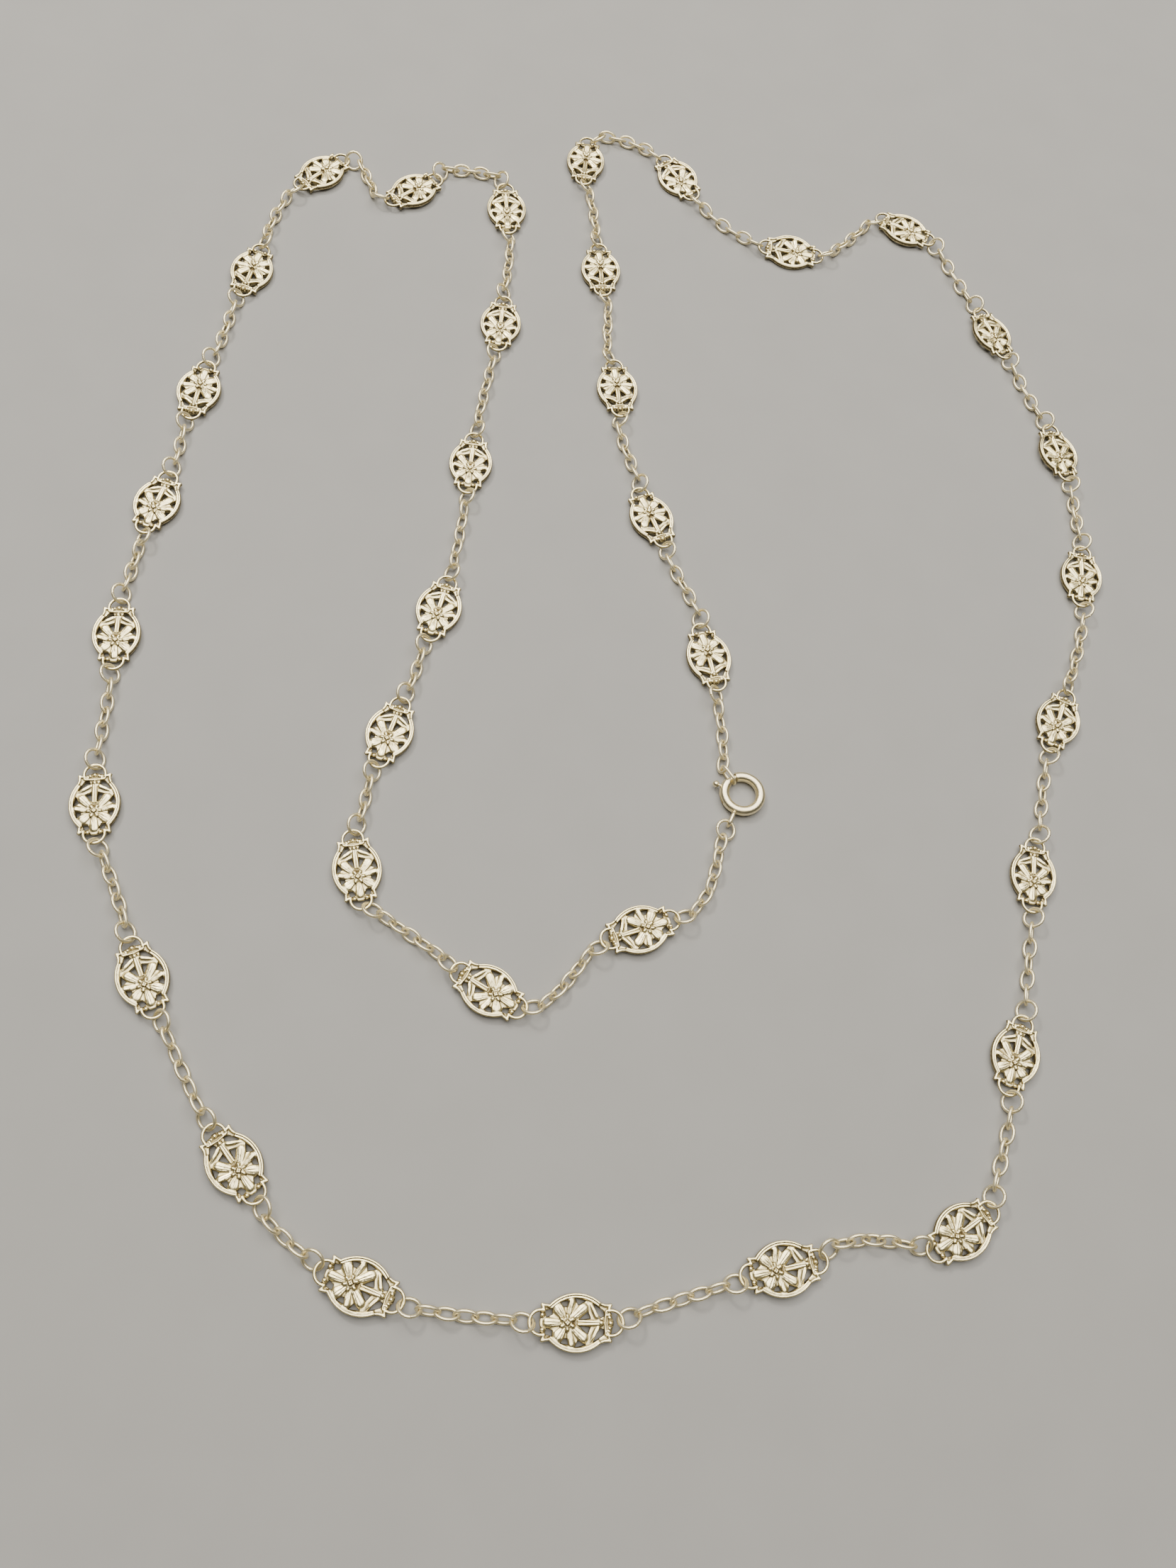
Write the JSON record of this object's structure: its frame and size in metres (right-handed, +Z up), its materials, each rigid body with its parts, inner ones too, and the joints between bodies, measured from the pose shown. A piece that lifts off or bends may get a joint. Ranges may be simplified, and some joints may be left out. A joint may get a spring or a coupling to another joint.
{
  "type": "sautoir necklace",
  "caption": "Long silver necklace of pierced floral plaques joined by fine oval-link chain, with a sprung bolt ring clasp, lying in loose loops.",
  "frame": {"origin": "middle of the laid-out necklace's outline, on the table it lies on", "axes": "+Z up from the table, +X to the right and +Y away from the viewer of the picture, along the layout's long side"},
  "size_m": [0.2455, 0.327, 0.0038],
  "materials": {
    "plaque_silver": "polished cast silver, darker in the hollows",
    "wire_silver": "polished silver wire",
    "clasp_silver": "polished silver"
  },
  "bodies": {
    "necklace": {"plaque_01": "plaque_silver", "plaque_02": "plaque_silver", "plaque_03": "plaque_silver", "plaque_04": "plaque_silver", "plaque_05": "plaque_silver", "plaque_06": "plaque_silver", "plaque_07": "plaque_silver", "plaque_08": "plaque_silver", "plaque_09": "plaque_silver", "plaque_10": "plaque_silver", "plaque_11": "plaque_silver", "plaque_12": "plaque_silver", "plaque_13": "plaque_silver", "plaque_14": "plaque_silver", "plaque_15": "plaque_silver", "plaque_16": "plaque_silver", "plaque_17": "plaque_silver", "plaque_18": "plaque_silver", "plaque_19": "plaque_silver", "plaque_20": "plaque_silver", "plaque_21": "plaque_silver", "plaque_22": "plaque_silver", "plaque_23": "plaque_silver", "plaque_24": "plaque_silver", "plaque_25": "plaque_silver", "plaque_26": "plaque_silver", "plaque_27": "plaque_silver", "plaque_28": "plaque_silver", "plaque_29": "plaque_silver", "plaque_30": "plaque_silver", "plaque_31": "plaque_silver", "plaque_32": "plaque_silver", "plaque_33": "plaque_silver", "plaque_34": "plaque_silver", "plaque_35": "plaque_silver", "jump_rings": "wire_silver", "oval_chain": "wire_silver", "clasp_ring": "clasp_silver", "hooked_link": "wire_silver"},
    "bolt": {"clasp_bolt": "clasp_silver"}
  },
  "joints": [
    {"name": "bolt_slide", "type": "hinge", "parent": "necklace", "child": "bolt", "pos_m": [0.043, -0.033, 0.0015], "axis": [0, 0, 1], "range_deg": [0, 40], "stiffness_Nm_per_rad": 0.006}
  ]
}
